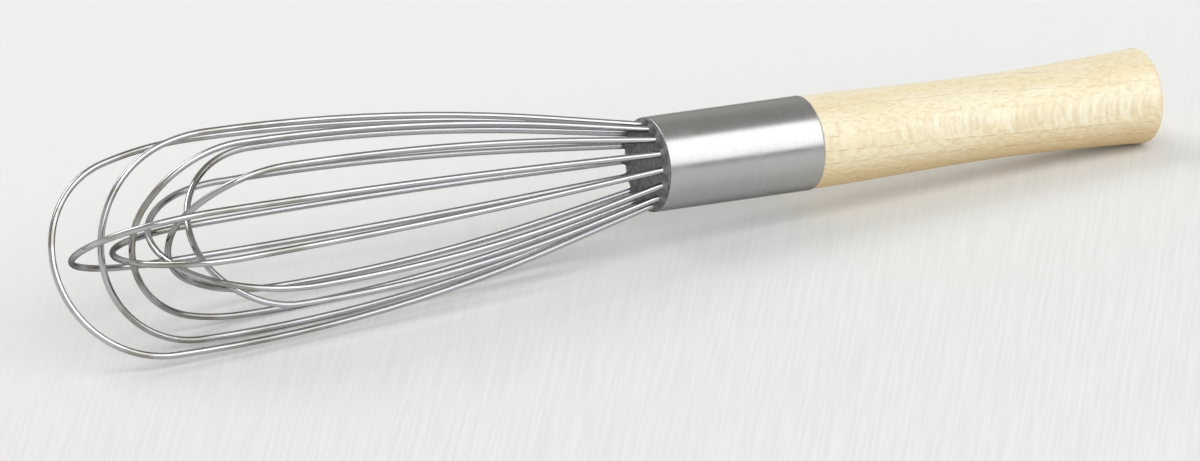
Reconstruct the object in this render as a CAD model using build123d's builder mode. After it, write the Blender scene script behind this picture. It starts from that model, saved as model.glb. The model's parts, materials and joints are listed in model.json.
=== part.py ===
import os
from math import atan, atan2, cos, degrees, radians, sin, tan

from build123d import *

# Balloon whisk lying at rest on a table: +Z up, the table at z = 0, the whisk's length
# along X with the butt of the handle at +X and the tip of the wires at -X. The origin is
# on the table below the middle of its length. All lengths are in millimetres.

os.makedirs("parts", exist_ok=True)

# Driving dimensions
handle_length = 93.7        # bare wood, from the steel tube to the butt
ferrule_length = 41.9
ferrule_diameter = 23.0
balloon_length = 158.9      # from the tube's mouth to the centre of the longest wire
balloon_radius = 25.5       # mean radius of the wires at the belly
wire_diameter = 1.6

# Wooden handle
shoulder_step = 0.2         # the wood stands this much below the steel where they meet
waist_radius = 10.3
waist_place = 45.2          # behind the steel tube
butt_radius = 11.65
butt_edge_radius = 1.4
butt_flare_slope = 0.06     # rise of the wood's outline per length as it nears the butt
shoulder_chamfer = 0.3
tenon_length = 16.0
tenon_lead_chamfer = 0.8

# Steel tube
ferrule_wall = 0.5
ferrule_rim_radius = 0.2

# Cast seal and the wires in it
bond_gap = 0.02             # room of every glued fit
seal_proud = 0.5            # the seal's flange covers the tube's rim and is this thick
flange_step = 0.1           # the flange's edge stands this much inside the tube's side
flange_edge_radius = 0.2
flange_under_radius = 0.1
wire_ring_radius = 9.9
wire_grip = 22.0            # length of each wire end inside the tube
bend_tangent = 0.8          # tangent length of the bend where a wire leaves the seal
bend_stand_off = 0.2        # straight wire between the seal's face and that bend

# Shapes of the loops, one value for each loop in order round the ring. The first leg of
# loop 1 stands just beyond upright, and each next loop is turned one step to the front.
reach_shares = [0.923, 0.87, 0.808, 0.958, 0.892, 0.827, 0.769, 1.0]
tip_offset_shares = [-0.09, 0.03, 0.07, -0.01, 0.13, 0.05, 0.14, 0.18]
first_radius_shares = [0.90, 0.90, 0.88, 0.88, 0.99, 1.07, 0.96, 1.15]
second_radius_shares = [1.03, 0.986, 1.05, 0.97, 1.02, 0.94, 0.87, 0.86]
first_place_shares = [0.80, 0.81, 0.81, 0.82, 0.86, 0.77, 0.84, 0.84]
second_place_shares = [0.83, 0.77, 0.72, 0.80, 0.78, 0.79, 0.80, 0.73]
first_shoulder_turns = [16, 60, 66, 32, 42, 40, 30, 34]
second_shoulder_turns = [38, 14, 34, 38, 36, 54, 30, 14]
leans = [0.5, 0.5, 0.7, 0.7, 1.9, 1.7, 0.9, 0.3]
leaving_share = 1.65        # how much steeper a leg leaves than the line to its belly
settling_steps = 8          # rounds in which the whisk's lie on the table is worked out

# Sizes that follow
ferrule_radius = ferrule_diameter / 2
bore_radius = ferrule_radius - ferrule_wall
fitted_radius = bore_radius - bond_gap
wire_radius = wire_diameter / 2
loop_count = len(reach_shares)
loop_pitch = 180 / loop_count
bend_place = seal_proud + bend_stand_off + bend_tangent
whole_length = handle_length + ferrule_length + balloon_length + wire_radius


def crossing(start, start_angle, end, end_angle):
    """Point where the lines through two points, each at its own angle, cross."""
    run, rise = end[0] - start[0], end[1] - start[1]
    reach = (run * sin(end_angle) - rise * cos(end_angle)) / sin(end_angle - start_angle)
    return (start[0] + reach * cos(start_angle), start[1] + reach * sin(start_angle))


def leg_shape(reach, tip_offset, belly_radius, place_share, shoulder_turn):
    """Outline of one leg in the plane of its loop, measured ahead of the bend and outward.

    It leaves the bend straight, rounds over the belly in one long arc, and comes to the
    tip in a shoulder arc and a tip arc. Each arc's chord halves the turn that it makes.
    """
    corner = (0, wire_ring_radius)
    belly = (reach * place_share - bend_place, belly_radius)
    tip = (reach - bend_place, tip_offset)
    leaving = leaving_share * atan2(belly[1] - corner[1], belly[0] - corner[0])
    turn = radians(shoulder_turn)
    bend_end = (bend_tangent * cos(leaving), corner[1] + bend_tangent * sin(leaving))
    leg_start = crossing(bend_end, leaving, belly, leaving / 2)
    shoulder = crossing(belly, -turn / 2, tip, -(turn + radians(90)) / 2)
    return leaving, bend_end, leg_start, belly, shoulder, tip


def loop_legs(index):
    """The two legs of a loop, as outlines that meet at its tip."""
    reach = balloon_length * reach_shares[index]
    tip_offset = balloon_radius * tip_offset_shares[index]
    first = leg_shape(reach, tip_offset, balloon_radius * first_radius_shares[index],
                      first_place_shares[index], first_shoulder_turns[index])
    second = leg_shape(reach, -tip_offset, balloon_radius * second_radius_shares[index],
                       second_place_shares[index], second_shoulder_turns[index])
    return first, second


def rest_tilt_and_height():
    """Tilt of the whisk's axis and height of the tube's mouth when the whisk lies down.

    It rests on the butt's rounded edge and on the lowest leg, which is the second leg of
    loop 1. That leg touches where its long arc has the slope of the table.
    """
    leaving, _, leg_start, belly, _, _ = loop_legs(0)[1]
    arc_radius = (belly[0] - leg_start[0]) / sin(leaving)
    off_plumb = radians(loop_pitch / 2)
    butt_centre = handle_length + ferrule_length - butt_edge_radius
    tilt = 0
    for _ in range(settling_steps):
        slide = atan(tan(tilt) / cos(off_plumb))
        ahead = belly[0] - arc_radius * sin(slide)
        outward = belly[1] - arc_radius * (1 - cos(slide))
        depth = outward * cos(off_plumb) - ahead * sin(radians(leans[0])) * sin(off_plumb)
        ahead += bend_place
        tilt = atan((depth + wire_radius - butt_radius) / (ahead + butt_centre))
    height = depth * cos(tilt) + wire_radius - ahead * sin(tilt)
    return degrees(tilt), height


# The whisk's own axis: the local Z runs from the tube's mouth to the tip, the local X
# stands up from it
rest_tilt, mouth_height = rest_tilt_and_height()
mouth_x = (whole_length / 2 - handle_length - ferrule_length) * cos(radians(rest_tilt))
tipward = Vector(-cos(radians(rest_tilt)), 0, sin(radians(rest_tilt)))
upward = Vector(sin(radians(rest_tilt)), 0, cos(radians(rest_tilt)))
mouth_plane = Plane(origin=(mouth_x, 0, mouth_height), x_dir=upward, z_dir=tipward)
whisk_axis = Axis(mouth_plane.origin, mouth_plane.z_dir)

# Profiles are drawn in the upright plane through the axis: X ahead of the mouth, Y up
profile_plane = Plane(origin=mouth_plane.origin, x_dir=tipward, z_dir=(0, 1, 0))

# Wooden handle with its tenon inside the tube
shoulder_radius = ferrule_radius - shoulder_step
shoulder_start = -ferrule_length - shoulder_chamfer
butt_end = -ferrule_length - handle_length
tenon_end = -ferrule_length + tenon_length
with BuildPart() as handle:
    with BuildSketch(profile_plane):
        with BuildLine():
            Spline(
                (shoulder_start, shoulder_radius),
                (-ferrule_length - waist_place, waist_radius),
                (butt_end + butt_edge_radius, butt_radius),
                tangents=[(-1, 0), (-1, butt_flare_slope)],
            )
            Polyline(
                (butt_end + butt_edge_radius, butt_radius),
                (butt_end, butt_radius),
                (butt_end, 0),
                (tenon_end, 0),
                (tenon_end, fitted_radius),
                (-ferrule_length, fitted_radius),
                (-ferrule_length, shoulder_radius - shoulder_chamfer),
                (shoulder_start, shoulder_radius),
            )
        make_face()
    revolve(axis=whisk_axis)
    rims = handle.edges().filter_by(GeomType.CIRCLE).group_by(whisk_axis)
    fillet(rims[0], butt_edge_radius)
    rims = handle.edges().filter_by(GeomType.CIRCLE).group_by(whisk_axis)
    chamfer(rims[-1], tenon_lead_chamfer)
handle.part.label = "handle"
export_step(handle.part, "parts/handle.step")

# Steel tube over the tenon and the seal
with BuildPart() as ferrule:
    with BuildSketch(mouth_plane):
        Circle(ferrule_radius)
        Circle(bore_radius, mode=Mode.SUBTRACT)
    extrude(amount=-ferrule_length)
    fillet(ferrule.edges().filter_by(GeomType.CIRCLE), ferrule_rim_radius)
ferrule.part.label = "ferrule"
export_step(ferrule.part, "parts/ferrule.step")

# Cast seal that fills the tube ahead of the tenon, caps its rim with a flange and holds
# the wire ends
seal_face = mouth_plane.offset(seal_proud)
flange_under = mouth_plane.offset(bond_gap)
plug_length = ferrule_length - tenon_length + bond_gap
hole_radius = wire_radius + bond_gap
with BuildPart() as epoxy_seal:
    with BuildSketch(flange_under):
        Circle(ferrule_radius - flange_step)
    extrude(amount=seal_proud - bond_gap)
    fillet(epoxy_seal.edges().group_by(whisk_axis)[-1], flange_edge_radius)
    fillet(epoxy_seal.edges().group_by(whisk_axis)[0], flange_under_radius)
    with BuildSketch(flange_under):
        Circle(fitted_radius)
    extrude(amount=-plug_length)
    with BuildSketch(seal_face):
        with PolarLocations(wire_ring_radius, 2 * loop_count, start_angle=loop_pitch / 2):
            Circle(hole_radius)
    extrude(amount=-(wire_grip + seal_proud + bond_gap), mode=Mode.SUBTRACT)
epoxy_seal.part.label = "epoxy_seal"
export_step(epoxy_seal.part, "parts/epoxy_seal.step")

# Wire loops: each is one spring wire, bent round the tip, with both ends in the seal
for index in range(loop_count):
    roll = radians(loop_pitch * (index - 1 / 2))
    outward = mouth_plane.x_dir * cos(roll) - mouth_plane.y_dir * sin(roll)
    aside = mouth_plane.x_dir * sin(roll) + mouth_plane.y_dir * cos(roll)
    lean = radians(leans[index])
    ahead = tipward * cos(lean) - aside * sin(lean)
    centre = mouth_plane.origin + tipward * bend_place

    with BuildPart() as wire_loop:
        with BuildLine() as route:
            for side, leg in zip((outward, -outward), loop_legs(index)):
                leaving, *outline = leg
                corner = centre + side * wire_ring_radius
                bend_start = corner - tipward * bend_tangent
                bend_end, leg_start, belly, shoulder, tip = [
                    centre + ahead * place[0] + side * place[1] for place in outline
                ]
                leg_direction = ahead * cos(leaving) + side * sin(leaving)
                Line(corner - tipward * (bend_place + wire_grip), bend_start)
                TangentArc(bend_start, bend_end, tangent=tipward)
                Line(bend_end, leg_start)
                TangentArc(leg_start, belly, tangent=leg_direction)
                shoulder_arc = TangentArc(belly, shoulder, tangent=ahead)
                TangentArc(shoulder, tip, tangent=shoulder_arc % 1)
        path = route.wire()
        with BuildSketch(Plane(origin=path @ 0, z_dir=path % 0)):
            Circle(wire_radius)
        sweep(path=path)
    name = f"wire_loop_{index + 1}"
    wire_loop.part.label = name
    export_step(wire_loop.part, f"parts/{name}.step")
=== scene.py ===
import json
import math

import bmesh
import bpy
from mathutils import Matrix, Quaternion, Vector, noise


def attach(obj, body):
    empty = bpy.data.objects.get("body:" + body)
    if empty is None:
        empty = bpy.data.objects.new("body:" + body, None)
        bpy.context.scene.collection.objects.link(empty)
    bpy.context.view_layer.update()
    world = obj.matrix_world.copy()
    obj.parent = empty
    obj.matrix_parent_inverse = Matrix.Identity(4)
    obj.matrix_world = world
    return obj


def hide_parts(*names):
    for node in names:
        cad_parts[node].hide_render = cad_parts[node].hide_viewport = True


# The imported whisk. Its own axis runs from the seal to the butt, and its record gives
# where that axis leaves the butt.
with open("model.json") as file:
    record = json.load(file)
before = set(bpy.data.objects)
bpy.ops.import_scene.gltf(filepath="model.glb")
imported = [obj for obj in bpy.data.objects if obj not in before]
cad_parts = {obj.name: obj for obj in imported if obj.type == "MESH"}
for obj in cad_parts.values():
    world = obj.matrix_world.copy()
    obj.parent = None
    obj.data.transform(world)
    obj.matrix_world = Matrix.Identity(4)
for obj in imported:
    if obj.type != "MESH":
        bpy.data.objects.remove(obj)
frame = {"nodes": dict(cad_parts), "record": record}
bpy.context.view_layer.update()
mm = 0.001
butt_mount = frame["record"]["mounts"][0]
butt_centre = Vector(butt_mount["pos_m"])
tailward = Vector(butt_mount["axis"]).normalized()
upward = Vector((-tailward.z, 0, tailward.x))
frontward = tailward.cross(upward)

# Beech handle, turned from one straight-grained blank, sanded and left without varnish.
# The blank was sawn so that the side towards the viewer shows the wood's rays lying flat,
# as pale and dark patches across the grain, the pale ones partly painted sheen, and the
# other sides show the rays' ends.
grain_side_angle = math.radians(15.7)       # the quarter-sawn side, above level at the front
grain_slope = math.radians(2.6)
across_rays = math.sin(grain_side_angle) * upward + math.cos(grain_side_angle) * frontward
along_rays = math.cos(grain_side_angle) * upward - math.sin(grain_side_angle) * frontward
beech_pale = (0.782, 0.705, 0.514, 1)
beech_warm = (0.755, 0.645, 0.405, 1)
# The next colour is painted shade: darker, more golden wood on the handle's underside.
beech_underside_shade = (0.635, 0.455, 0.197, 1)
beech_ring = (0.455, 0.327, 0.182, 1)
beech_fleck = (0.545, 0.400, 0.227, 1)
beech_ripple = (0.673, 0.545, 0.359, 1)
# The next colour is pale wood with painted sheen on it, used for pale rays and ripple bars.
beech_pale_and_sheen = (0.836, 0.782, 0.618, 1)


class Finish:
    """The nodes of a material or of the room, added and joined one line at a time."""

    def __init__(self, material, shader="Principled BSDF"):
        material.use_nodes = True
        self.material = material
        self.tree = material.node_tree
        self.shader = self.tree.nodes[shader]

    def add(self, kind, settings=None, **inputs):
        """One node. Inputs are its sockets by name, or by number as in_0."""
        node = self.tree.nodes.new("ShaderNode" + kind)
        for key, value in (settings or {}).items():
            setattr(node, key, value)
        for key, value in inputs.items():
            by_number = key.startswith("in_")
            self.feed(node.inputs[int(key[3:]) if by_number else key], value)
        return node

    def feed(self, socket, value):
        if isinstance(value, bpy.types.NodeSocket):
            self.tree.links.new(value, socket)
        else:
            socket.default_value = value

    def math(self, operation, *values):
        node = self.add("Math", {"operation": operation})
        for socket, value in zip(node.inputs, values):
            self.feed(socket, value)
        return node.outputs[0]

    def product(self, first, *others):
        for other in others:
            first = self.math("MULTIPLY", first, other)
        return first

    def ramp(self, value, low, high, start=0.0, end=1.0):
        """A smooth step from start to end while the value goes from low to high."""
        return self.add("MapRange", {"interpolation_type": "SMOOTHSTEP"}, in_0=value,
                        in_1=low, in_2=high, in_3=start, in_4=end).outputs[0]

    def fade(self, value, low, high):
        return self.ramp(value, low, high, start=1.0, end=0.0)

    def mix(self, share, first, second):
        node = self.add("Mix", {"data_type": "RGBA"}, in_0=share, in_6=first, in_7=second)
        return node.outputs[2]

    def place(self, x, y, z=0.0):
        return self.add("CombineXYZ", X=x, Y=y, Z=z).outputs[0]

    def place_along(self, direction):
        """Distance of the shaded point from the butt's centre along a direction."""
        here = self.add("TexCoord").outputs["Object"]
        offset = self.add("VectorMath", {"operation": "SUBTRACT"}, in_0=here, in_1=butt_centre)
        node = self.add("VectorMath", {"operation": "DOT_PRODUCT"}, in_0=offset.outputs[0],
                        in_1=direction)
        return node.outputs["Value"]

    def place_on_whisk(self):
        """The shaded point's distances along the whisk's axis, in front of it and above it."""
        return self.place(self.place_along(tailward), self.place_along(frontward),
                          self.place_along(upward))

    def cells(self, place, sizes, detail=2.0, roughness=0.5):
        """Noise whose cells have the given size in each of the place's three directions."""
        shares = self.add("VectorMath", {"operation": "DIVIDE"}, in_0=place, in_1=sizes)
        node = self.add("TexNoise", Vector=shares.outputs[0], Scale=1.0, Detail=detail,
                        Roughness=roughness)
        return node.outputs["Fac"]

    def bump(self, height, depth, strength):
        """Relief of the given depth on the surface. A negative depth is sunk in."""
        node = self.add("Bump", Height=height, Distance=depth, Strength=strength)
        self.feed(self.shader.inputs["Normal"], node.outputs[0])


beech = Finish(bpy.data.materials.new("beech"))
along = beech.place_along(tailward)
across = beech.place_along(across_rays)
radial = beech.place_along(along_rays)
sloping = beech.math("MULTIPLY_ADD", along, math.tan(grain_slope), radial)
grain_place = beech.place(along, across, sloping)
cloud_length, cloud_width = 30 * mm, 5 * mm
cloud = beech.cells(grain_place, (cloud_length, cloud_width, cloud_width), detail=3)

# Yearly rings round a pith far below: thin lines of late wood, broken into dashes.
pith_distance = 70 * mm
ring_spacing = 3.3 * mm
ring_wander = 0.5 * ring_spacing
dash_length, dash_width = 2.5 * mm, 0.5 * mm
dash_gap_strength = 0.05
from_pith = beech.math("ADD", sloping, pith_distance)
ring_radius = beech.math("SQRT", beech.math("ADD", beech.math("POWER", across, 2.0),
                                            beech.math("POWER", from_pith, 2.0)))
wandering = beech.math("ADD", ring_radius, beech.product(cloud, ring_wander))
ring_phase = beech.math("FRACT", beech.math("DIVIDE", wandering, ring_spacing))
late_wood = beech.product(beech.ramp(ring_phase, low=0.87, high=0.97),
                          beech.fade(ring_phase, low=0.97, high=1.0))
dashes = beech.cells(grain_place, (dash_length, dash_width, dash_width), detail=3)
ring_line = beech.product(late_wood, beech.ramp(dashes, low=0.40, high=0.58,
                                                start=dash_gap_strength))

# Ripple: a band of flat rays along the quarter-sawn side, bowed and weaker near the tube.
# Its lower edge is sharper than its upper one, and the ring lines hardly show through it.
ripple_length, ripple_width = 1.0 * mm, 7 * mm
ripple_middle, ripple_half_width = -2.3 * mm, 3.4 * mm
lower_edge, lower_full = -1.0 * ripple_half_width, -0.7 * ripple_half_width
upper_full, upper_edge = 0.4 * ripple_half_width, 1.3 * ripple_half_width
no_ripple_within, full_ripple_beyond = 3 * mm, 8 * mm
weak_ripple_to, full_ripple_from = -84 * mm, -58 * mm
ripple_bow = 1.3 * mm
ripple_near_tube = 0.15
ring_in_ripple, ring_above_ripple = 0.1, 0.45
ripple_band = beech.product(
    beech.ramp(sloping, ripple_middle + lower_edge, ripple_middle + lower_full),
    beech.fade(sloping, ripple_middle + upper_full, ripple_middle + upper_edge),
    beech.ramp(beech.math("ABSOLUTE", across), no_ripple_within, full_ripple_beyond),
    beech.ramp(along, weak_ripple_to, full_ripple_from, start=ripple_near_tube))
ring_line = beech.product(ring_line,
                          beech.ramp(ripple_band, 0.0, 1.0, start=1.0, end=ring_in_ripple),
                          beech.ramp(sloping, low=-3 * mm, high=1 * mm, start=1.0,
                                     end=ring_above_ripple))
from_ripple_middle = beech.math("DIVIDE", beech.math("SUBTRACT", sloping, ripple_middle),
                                ripple_half_width)
bow = beech.product(beech.math("POWER", beech.math("ABSOLUTE", from_ripple_middle), 2.0),
                    ripple_bow)
ripple_place = beech.place(beech.math("SUBTRACT", along, bow), across, sloping)
ripple = beech.cells(ripple_place, (ripple_length, 3 * ripple_width, ripple_width), detail=1.5)
ripple_dark = beech.product(ripple_band, beech.ramp(ripple, low=0.50, high=0.62))
# The ripple's pale bars are partly real pale figure and partly painted sheen.
ripple_pale_and_sheen = beech.product(ripple_band, beech.fade(ripple, low=0.36, high=0.48))

# Ray ends and short dark pores, all over.
ray_height, ray_thickness, ray_depth = 1.7 * mm, 0.30 * mm, 15 * mm
fleck_length, fleck_width = 1.5 * mm, 0.16 * mm
rays = beech.cells(grain_place, (ray_height, ray_thickness, ray_depth), detail=1.5)
ray_dark = beech.ramp(rays, low=0.50, high=0.68)
# The pale ray patches are partly real pale rays and partly painted sheen.
ray_pale_and_sheen = beech.fade(rays, low=0.34, high=0.48)
flecks = beech.cells(grain_place, (fleck_length, fleck_width, 2 * fleck_width), detail=2)
fleck_dark = beech.ramp(flecks, low=0.60, high=0.75)

# The wood's colour: cloudy pale wood, painted shade making it darker and more golden below,
# and the marks over both.
all_shade_below, no_shade_above = -10.5 * mm, -2.5 * mm
wood_colour = beech.mix(beech.ramp(cloud, low=0.35, high=0.65), beech_pale, beech_warm)
# Painted shade: the underside is coloured darker and more golden than the wood above it.
underside_shade = beech.fade(radial, all_shade_below, no_shade_above)
wood_colour = beech.mix(underside_shade, wood_colour, beech_underside_shade)
marks = [(ring_line, 0.80, beech_ring), (ray_dark, 0.30, beech_fleck),
         (ray_pale_and_sheen, 0.30, beech_pale_and_sheen), (fleck_dark, 0.55, beech_fleck),
         (ripple_dark, 0.45, beech_ripple), (ripple_pale_and_sheen, 0.60, beech_pale_and_sheen)]
for mark, strength, colour in marks:
    wood_colour = beech.mix(beech.product(mark, strength), wood_colour, colour)
sanded_smooth, sanded_rough = 0.34, 0.50
pore_depth = 0.012 * mm
beech.feed(beech.shader.inputs["Base Color"], wood_colour)
beech.feed(beech.shader.inputs["Roughness"],
           beech.ramp(rays, low=0.3, high=0.7, start=sanded_smooth, end=sanded_rough))
beech.shader.inputs["Specular IOR Level"].default_value = 0.65
beech.shader.inputs["IOR"].default_value = 1.65
pores = beech.math("ADD", beech.product(ray_dark, 0.6), fleck_dark)
beech.bump(pores, -pore_depth, strength=0.8)
handle = frame["nodes"]["handle"]
handle.material_slots[0].material = beech.material

# Ferrule: a length of drawn stainless tube pressed over the handle's tenon, with its rims
# broken and its outside brushed round and round. Handling has left it a little uneven.
brush_pitch, brush_length = 0.045 * mm, 9 * mm
tone_pitch, tone_length = 1.2 * mm, 14 * mm
handled_length, handled_width = 9 * mm, 7 * mm
steel_grey = (0.485, 0.485, 0.480, 1)
steel_shade = (0.467, 0.467, 0.462, 1)
steel_edge_tint = (0.45, 0.45, 0.44, 1)
polished_by_hand, as_brushed, brush_roughness = 0.21, 0.25, 0.05
brush_depth = 0.002 * mm

satin = Finish(bpy.data.materials.new("satin_steel"))
round_place = satin.place_on_whisk()
brushing = satin.cells(round_place, (brush_pitch, brush_length, brush_length), detail=2)
tone = satin.cells(round_place, (tone_pitch, tone_length, tone_length), detail=2)
handled = satin.cells(round_place, (handled_length, handled_width, handled_width), detail=3)
satin.feed(satin.shader.inputs["Base Color"],
           satin.mix(satin.ramp(tone, low=0.3, high=0.7), steel_shade, steel_grey))
satin.shader.inputs["Metallic"].default_value = 1.0
satin.shader.inputs["Specular Tint"].default_value = steel_edge_tint
worn = satin.ramp(handled, low=0.35, high=0.65, start=polished_by_hand, end=as_brushed)
satin.feed(satin.shader.inputs["Roughness"],
           satin.math("MULTIPLY_ADD", brushing, brush_roughness, worn))
satin.bump(brushing, brush_depth, strength=0.5)
ferrule = frame["nodes"]["ferrule"]
ferrule.material_slots[0].material = satin.material

# Seal: dark resin cast into the tube's mouth round the wire ends. It caps the tube's rim
# with a round-edged flange, and it has crept a little way up each wire as it set.
wire_radius = 0.8 * mm
wire_ring_radius = 9.9 * mm
flange_radius = 11.4 * mm
flange_thickness = 0.48 * mm
flange_edge = 0.2 * mm
flange_under_edge = 0.1 * mm
face_radius = flange_radius - flange_edge
plug_radius = 10.98 * mm
creep_height, creep_reach = 1.3 * mm, 1.15 * mm
dish_depth = 0.30 * mm
lump_height, lump_width = 0.06 * mm, 1.6 * mm
edge_steps = 6
steps_per_wire = 24
ring_step = 0.16 * mm
resin_grey = (0.085, 0.085, 0.087, 1)
resin_pale = (0.183, 0.183, 0.182, 1)
loop_names = sorted(name for name in frame["nodes"] if name.startswith("wire_loop"))
leg_count = 2 * len(loop_names)
seal_reach = [(butt_centre - vertex.co).dot(tailward)
              for vertex in frame["nodes"]["epoxy_seal"].data.vertices]
seal_back, seal_front = min(seal_reach), max(seal_reach)


def creep(radius, angle):
    """How far the resin stands up at a place of the seal's face because of a wire."""
    pitch = 2 * math.pi / leg_count
    off = (angle / pitch) % 1 - 0.5
    gap = Vector((radius * math.cos(off * pitch) - wire_ring_radius,
                  radius * math.sin(off * pitch))).length - wire_radius
    nearness = min(max(1 - gap / creep_reach, 0), 1)
    return creep_height * nearness ** 2


def seal_side_rings():
    """The plug and the flange's rounded edge, from the back, as pairs of reach and radius."""
    under = seal_front - flange_thickness
    turns = [math.pi / 2 * step / edge_steps for step in range(edge_steps + 1)]
    rings = [(seal_back, plug_radius / 2), (seal_back, plug_radius), (under, plug_radius)]
    rings += [(under + flange_under_edge * (1 - math.cos(turn)),
               flange_radius - flange_under_edge * (1 - math.sin(turn))) for turn in turns]
    rings += [(seal_front - flange_edge * (1 - math.sin(turn)),
               flange_radius - flange_edge * (1 - math.cos(turn))) for turn in turns]
    return rings


def seal_face_rings():
    """The slightly dished face, from the flange's edge to the middle."""
    rings = []
    for step in range(1, int(face_radius / ring_step)):
        radius = face_radius - step * ring_step
        inside = max(0, 1 - radius / (wire_ring_radius - 2 * wire_radius))
        rings.append((seal_front - dish_depth * (1 - (1 - inside) ** 2), radius))
    return rings


def build_seal():
    mesh = bmesh.new()
    segments = leg_count * steps_per_wire
    sides = seal_side_rings()
    loops = []
    for number, (reach, radius) in enumerate(sides + seal_face_rings()):
        loop = []
        for segment in range(segments):
            angle = 2 * math.pi * segment / segments
            place = (butt_centre - tailward * reach + upward * radius * math.cos(angle)
                     + frontward * radius * math.sin(angle))
            if number >= len(sides):
                rise = creep(radius, angle) + lump_height * noise.noise(place / lump_width)
                place -= tailward * rise
            loop.append(mesh.verts.new(place))
        loops.append(loop)
    for first, second in zip(loops, loops[1:]):
        for segment in range(segments):
            after = (segment + 1) % segments
            mesh.faces.new((first[segment], first[after], second[after], second[segment]))
    mesh.faces.new(reversed(loops[0]))
    mesh.faces.new(loops[-1])
    bmesh.ops.recalc_face_normals(mesh, faces=mesh.faces)
    for face in mesh.faces:
        face.smooth = len(face.verts) == 4
    data = bpy.data.meshes.new("cast_seal")
    mesh.to_mesh(data)
    mesh.free()
    piece = bpy.data.objects.new("cast_seal", data)
    bpy.context.collection.objects.link(piece)
    return piece


mottle_size, grit_size, grit_depth = 1.3 * mm, 0.12 * mm, 0.02 * mm
resin_smooth, resin_rough = 0.48, 0.62

resin = Finish(bpy.data.materials.new("cast_resin"))
here = resin.add("TexCoord").outputs["Object"]
mottle = resin.cells(here, (mottle_size,) * 3, detail=4, roughness=0.6)
grit = resin.cells(here, (grit_size,) * 3, detail=2)
resin.feed(resin.shader.inputs["Base Color"],
           resin.mix(resin.ramp(mottle, low=0.40, high=0.66), resin_grey, resin_pale))
resin.feed(resin.shader.inputs["Roughness"],
           resin.ramp(mottle, low=0.35, high=0.65, start=resin_smooth, end=resin_rough))
resin.bump(grit, grit_depth, strength=0.5)
seal = build_seal()
seal.data.materials.append(resin.material)
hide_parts("epoxy_seal")
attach(seal, "root")

# Wires: eight loops of hard stainless spring wire, drawn bright, bent by hand round the
# tip and set with both ends in the seal. Use has dulled them in patches round the tip.
wire_bright = (0.51, 0.51, 0.525, 1)
wire_dull = (0.335, 0.325, 0.287, 1)
wire_edge_tint = (0.26, 0.26, 0.27, 1)
streak_length, streak_width, streak_depth = 22 * mm, 0.18 * mm, 0.002 * mm
stain_length, stain_width = 14 * mm, 9 * mm
streak_share, stain_share = 0.2, 0.8
tip_end, tip_start = -250 * mm, -200 * mm
dullness_behind_tip = 0.15
wire_smooth, wire_rough = 0.07, 0.13

bright = Finish(bpy.data.materials.new("drawn_wire"))
wire_place = bright.place_on_whisk()
streaks = bright.cells(wire_place, (streak_length, streak_width, streak_width), detail=2)
stains = bright.cells(wire_place, (stain_length, stain_width, stain_width), detail=2)
shade = bright.math("ADD", bright.product(streaks, streak_share),
                    bright.product(stains, stain_share))
near_tip = bright.ramp(bright.place_along(tailward), tip_end, tip_start, start=1.0,
                       end=dullness_behind_tip)
dullness = bright.product(bright.fade(shade, low=0.36, high=0.54), near_tip)
bright.feed(bright.shader.inputs["Base Color"],
            bright.mix(dullness, wire_bright, wire_dull))
bright.shader.inputs["Metallic"].default_value = 1.0
bright.shader.inputs["Specular Tint"].default_value = wire_edge_tint
bright.feed(bright.shader.inputs["Roughness"],
            bright.ramp(stains, low=0.3, high=0.7, start=wire_smooth, end=wire_rough))
bright.bump(streaks, streak_depth, strength=0.2)
for name in loop_names:
    wire = frame["nodes"][name]
    wire.material_slots[0].material = bright.material

# Table top: one wide board, painted with a broad brush in pale grey-white. The strokes
# show as faint lines, painted light makes the paint paler towards the back, and painted
# shade makes the board greyer far from the whisk.
floor_half = 12.0
thin_paint = (0.678, 0.673, 0.660, 1)
full_paint = (0.737, 0.732, 0.719, 1)
painted_light_paint = (0.753, 0.750, 0.742, 1)
# The next colour is painted shade for the board far from the whisk.
far_shade_paint = (0.50, 0.50, 0.49, 1)
stroke = Vector((0.537, 0.843, 0))
beside_stroke = Vector((-0.843, 0.537, 0))
bristle_pitch, stroke_length, stroke_thickness = 0.9 * mm, 45 * mm, 10 * mm
stroke_depth = 0.12 * mm
back_light_from, full_back_light_from = -0.10, 0.14
far_shade_from, full_far_shade_from = 0.24, 1.0

paint = Finish(bpy.data.materials.new("pale_paint"))
strokes = paint.place(paint.place_along(beside_stroke), paint.place_along(stroke))
brushed = paint.cells(strokes, (bristle_pitch, stroke_length, stroke_thickness), detail=4,
                      roughness=0.6)
paint_colour = paint.mix(paint.ramp(brushed, low=0.3, high=0.7), thin_paint, full_paint)
# Painted light: the paint is coloured paler towards the back of the board.
painted_back_light = paint.ramp(paint.place_along(Vector((0, 1, 0))), back_light_from, full_back_light_from)
paint_colour = paint.mix(painted_back_light, paint_colour, painted_light_paint)
# Painted shade: far from the whisk the board is coloured greyer.
from_middle = paint.add("VectorMath", {"operation": "LENGTH"},
                        in_0=paint.add("TexCoord").outputs["Object"]).outputs["Value"]
far_shade_share = paint.ramp(from_middle, far_shade_from, full_far_shade_from)
paint_colour = paint.mix(far_shade_share, paint_colour, far_shade_paint)
paint.feed(paint.shader.inputs["Base Color"], paint_colour)
paint.bump(brushed, stroke_depth, strength=0.5)
paint.shader.inputs["Roughness"].default_value = 0.7
paint.shader.inputs["Specular IOR Level"].default_value = 0.2
board = bpy.data.meshes.new("table_top")
corners = [(-floor_half, -floor_half, 0), (floor_half, -floor_half, 0),
           (floor_half, floor_half, 0), (-floor_half, floor_half, 0)]
board.from_pydata(corners, [], [(0, 1, 2, 3)])
table = bpy.data.objects.new("table_top", board)
table.data.materials.append(paint.material)
bpy.context.collection.objects.link(table)

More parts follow.
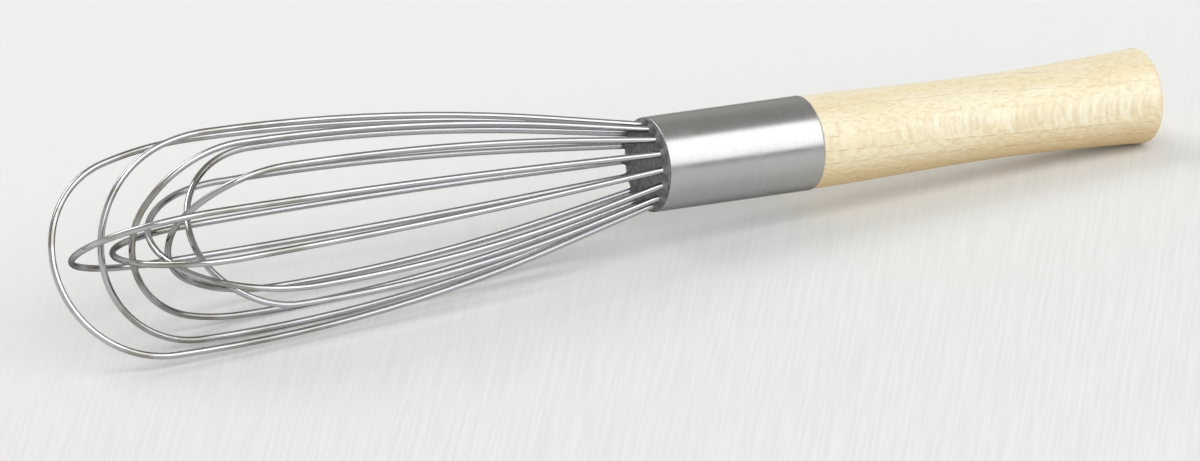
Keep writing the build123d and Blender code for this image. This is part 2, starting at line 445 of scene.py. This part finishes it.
# Light: a very large soft box high in front of the table, facing down at the whisk, and a
# smaller one high behind it, a little to the left. The room has a pale wall behind the
# table, a grey one at the left, a dim ceiling and a dark space in front.
lamp_distance = 3.0
lamp_colour = (0.955, 0.975, 1.0)


class SoftBox:
    """A rectangular lamp that faces the whisk from a direction and may be moved aside.

    Its energy is the one at which its face shows the given radiance.
    """

    def __init__(self, name, direction, width, height, radiance, aside=Vector()):
        lamp = bpy.data.lights.new(name, "AREA")
        lamp.shape = "RECTANGLE"
        lamp.size, lamp.size_y = width, height
        lamp.energy = radiance * math.pi * width * height
        lamp.color = lamp_colour
        box = bpy.data.objects.new(name, lamp)
        box.location = lamp_distance * direction + aside
        box.rotation_euler = direction.to_track_quat("Z", "Y").to_euler()
        bpy.context.collection.objects.link(box)


front_direction = Vector((0, -0.755, 0.656))
rear_direction = Vector((-0.30, 0.50, 0.70)).normalized()
SoftBox("front_box", front_direction, width=6.0, height=3.80, radiance=2.00,
        aside=Vector((1.5, 0, 0)))
SoftBox("rear_box", rear_direction, width=1.7, height=1.7, radiance=3.44)

ceiling_radiance = 0.408
wall_radiance = 0.95
left_radiance = 0.78
front_radiance = 0.08
room_tint = (1.0, 0.985, 0.945, 1)
room_world = bpy.data.worlds.new("room")
room = Finish(room_world, "Background")
outlook = room.add("SeparateXYZ", Vector=room.add("TexCoord").outputs["Generated"])
behind_table = room.ramp(outlook.outputs["Y"], low=-0.15, high=0.45, start=front_radiance,
                         end=wall_radiance)
at_left = room.fade(outlook.outputs["X"], low=-0.60, high=-0.10)
around = room.math("MAXIMUM", behind_table, room.product(at_left, left_radiance))
low_down = room.fade(outlook.outputs["Z"], low=0.10, high=0.85)
brightness = room.add("Mix", in_0=low_down, in_2=ceiling_radiance, in_3=around)
room.feed(room.shader.inputs["Strength"], brightness.outputs[0])
room.shader.inputs["Color"].default_value = room_tint
bpy.context.scene.world = room_world
bpy.context.scene.view_settings.view_transform = "Standard"

# Camera: far off with a long lens, as the photograph shows almost no perspective, and
# turned a little about its own line of sight.
camera_azimuth = math.radians(-27.11)
camera_elevation = math.radians(20.90)
camera_roll = math.radians(-1.38)
camera_distance = 3.994
lens_length = 500
view_end = 50
aim_right, aim_up = -1.41 * mm, 4.92 * mm
look_back = Vector((math.sin(camera_azimuth) * math.cos(camera_elevation),
                    -math.cos(camera_azimuth) * math.cos(camera_elevation),
                    math.sin(camera_elevation)))
level_right = Vector((math.cos(camera_azimuth), math.sin(camera_azimuth), 0))
rightward = Quaternion(look_back, camera_roll) @ level_right
skyward = look_back.cross(rightward)
camera_data = bpy.data.cameras.new("camera")
camera_data.lens = lens_length
camera_data.clip_end = view_end
camera = bpy.data.objects.new("camera", camera_data)
camera.location = look_back * camera_distance + rightward * aim_right + skyward * aim_up
camera.rotation_euler = Matrix((rightward, skyward, look_back)).transposed().to_euler()
bpy.context.collection.objects.link(camera)
bpy.context.scene.camera = camera

bpy.context.view_layer.update()
